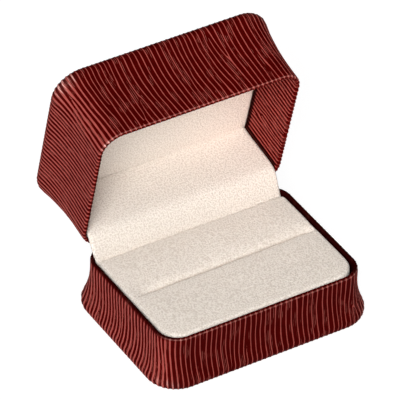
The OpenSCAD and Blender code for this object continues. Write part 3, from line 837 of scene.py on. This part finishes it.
def top_panel():
    half_w, half_d, r = (size - PANEL_INSET for size in (HALF_W, HALF_D, CORNER))
    low = LID["rim"] + LID["h"]
    table = rounded_rows(half_w - PANEL_EDGE, PANEL_EDGE - half_d, half_d - PANEL_EDGE,
                         r - PANEL_EDGE, r - PANEL_EDGE, np.arange(r - half_d, half_d - r, 0.5), 14)
    x = table[:, 1, None] * np.linspace(-1, 1, PANEL_COLUMNS)
    y = np.repeat(table[:, :1], PANEL_COLUMNS, 1)
    wave = rib_wave(x + PANEL_PLACE[0], y + PANEL_PLACE[1], PANEL_LENGTH, 41)
    inside = smoothstep(np.minimum(half_w - np.abs(x), half_d - np.abs(y)), 0.4, 1.4)
    z = low + PANEL_T - PANEL_GROOVE * (1 - rib_height(wave, PANEL_SHARE)) * inside
    rings = rounded_edge(PANEL_EDGE, PANEL_EDGE_DEPTH, 4) + [(PANEL_EDGE, 0, 1)]
    top = np.stack([x, y, z], -1).reshape(-1, 3)
    points, faces = loft(top, table, PANEL_COLUMNS, rings, low)
    turn = np.tile([1.0, 0.0, PANEL_SHARE], (len(points), 1))
    turn[:wave.size, :2] = np.stack([wave.real, wave.imag], -1).reshape(-1, 2)
    return mesh_piece("lid_top_wrap", opened(points), faces, LEATHERETTE, LEATHER_SHARP,
                      points[faces.ravel(), :2] * MM, {"turn": turn, "edge": 0 * turn})


top = top_panel()
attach(top, "lid")
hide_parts("lid_top_panel")

# ---- Floor, light and camera ----
scene = bpy.context.scene
FLOOR_HALF, FLOOR_Z = 3, -0.0002


def white_floor():
    """A pale floor that gives off its own light, just below the box."""
    me = bpy.data.meshes.new("floor")
    corners = [(FLOOR_HALF * x, FLOOR_HALF * y, FLOOR_Z)
               for x, y in ((-1, -1), (1, -1), (1, 1), (-1, 1))]
    me.from_pydata(corners, [], [(0, 1, 2, 3)])
    m, t, bsdf = material("floor")
    colour = mixed(t, noise(t, own_place(t), 40, 3), (0.22, 0.22, 0.22), (0.2, 0.2, 0.2))
    t.links.new(colour, bsdf.inputs["Base Color"])
    bsdf.inputs["Emission Color"].default_value = (1, 1, 1, 1)
    bsdf.inputs["Emission Strength"].default_value = 0.9
    bsdf.inputs["Roughness"].default_value = 0.9
    bsdf.inputs["Specular IOR Level"].default_value = 0.1
    me.materials.append(m)
    floor = bpy.data.objects.new("floor", me)
    scene.collection.objects.link(floor)
    return floor


floor = white_floor()


def studio_sky(brightest, slope, level, least):
    """Soft light from all round, brightest from one direction."""
    world = bpy.data.worlds.new("studio")
    scene.world = world
    world.use_nodes = True
    t = world.node_tree
    facing = t.nodes.new("ShaderNodeVectorMath")
    facing.operation = "DOT_PRODUCT"
    facing.inputs[1].default_value = brightest
    t.links.new(t.nodes.new("ShaderNodeTexCoord").outputs["Generated"], facing.inputs[0])
    strength = plus(t, times(t, facing.outputs["Value"], slope), level)
    t.links.new(maths(t, "MAXIMUM", strength, least), t.nodes["Background"].inputs["Strength"])


def lamp(name, kind, at, target, power, **settings):
    data = bpy.data.lights.new(name, kind)
    data.energy = power
    for key, value in settings.items():
        setattr(data, key, value)
    held = bpy.data.objects.new(name, data)
    held.location = at
    held.rotation_euler = (Vector(target) - Vector(at)).to_track_quat("-Z", "Y").to_euler()
    scene.collection.objects.link(held)


studio_sky(brightest=(-0.35, -0.5, 0.72), slope=0.36, level=0.34, least=0.04)
# The lamps shine on the middle of the box, but a narrow warm one on the lining's right end
BOX_MIDDLE, LINING_END = (0, 0, 0.03), (0.037, 0.036, 0.045)
for name, at, size, power in (("key", (-0.95, -1.0, 1.0), (0.6, 0.6), 24),
                              ("fill", (-0.4, -1.6, 1.35), (1.5, 1.0), 13),
                              ("top", (0.0, -0.2, 1.9), (1.0, 1.0), 7)):
    lamp(name, "AREA", at, BOX_MIDDLE, power, shape="RECTANGLE", size=size[0], size_y=size[1])
lamp("kicker", "SPOT", (-0.3, -0.75, 0.35), LINING_END, 24, color=(1.0, 0.6, 0.5),
     spot_size=math.radians(3.2), spot_blend=1.0, shadow_soft_size=0.03)

# The camera, as fitted to the photograph: azimuth, elevation and roll in degrees, distance in
# metres, pixels per metre at the target, and how far the target lies off the picture's middle
AZ, EL, ROLL = (math.radians(v) for v in (-32.4103, 38.3460, 1.7647))
DISTANCE, SCALE, SHIFT_U, SHIFT_V = 1.295474, 3540.6212, 0.00685334, -0.01547329
TARGET = Vector((0, 0, 0.0205))
PICTURE, SENSOR = 400, 36


def photo_camera():
    back = Vector((math.sin(AZ) * math.cos(EL), -math.cos(AZ) * math.cos(EL), math.sin(EL)))
    level = Vector((math.cos(AZ), math.sin(AZ), 0))
    upright = back.cross(level)
    right = level * math.cos(ROLL) + upright * math.sin(ROLL)
    up = upright * math.cos(ROLL) - level * math.sin(ROLL)
    place = TARGET + back * DISTANCE - right * SHIFT_U - up * SHIFT_V
    lens = bpy.data.cameras.new("camera")
    lens.sensor_width = SENSOR
    lens.lens = SCALE * DISTANCE / PICTURE * SENSOR
    camera = bpy.data.objects.new("camera", lens)
    turned = Matrix((right, up, back)).transposed().to_4x4()
    camera.matrix_world = Matrix.Translation(place) @ turned
    scene.collection.objects.link(camera)
    return camera


scene.camera = photo_camera()
scene.view_settings.view_transform = "Standard"
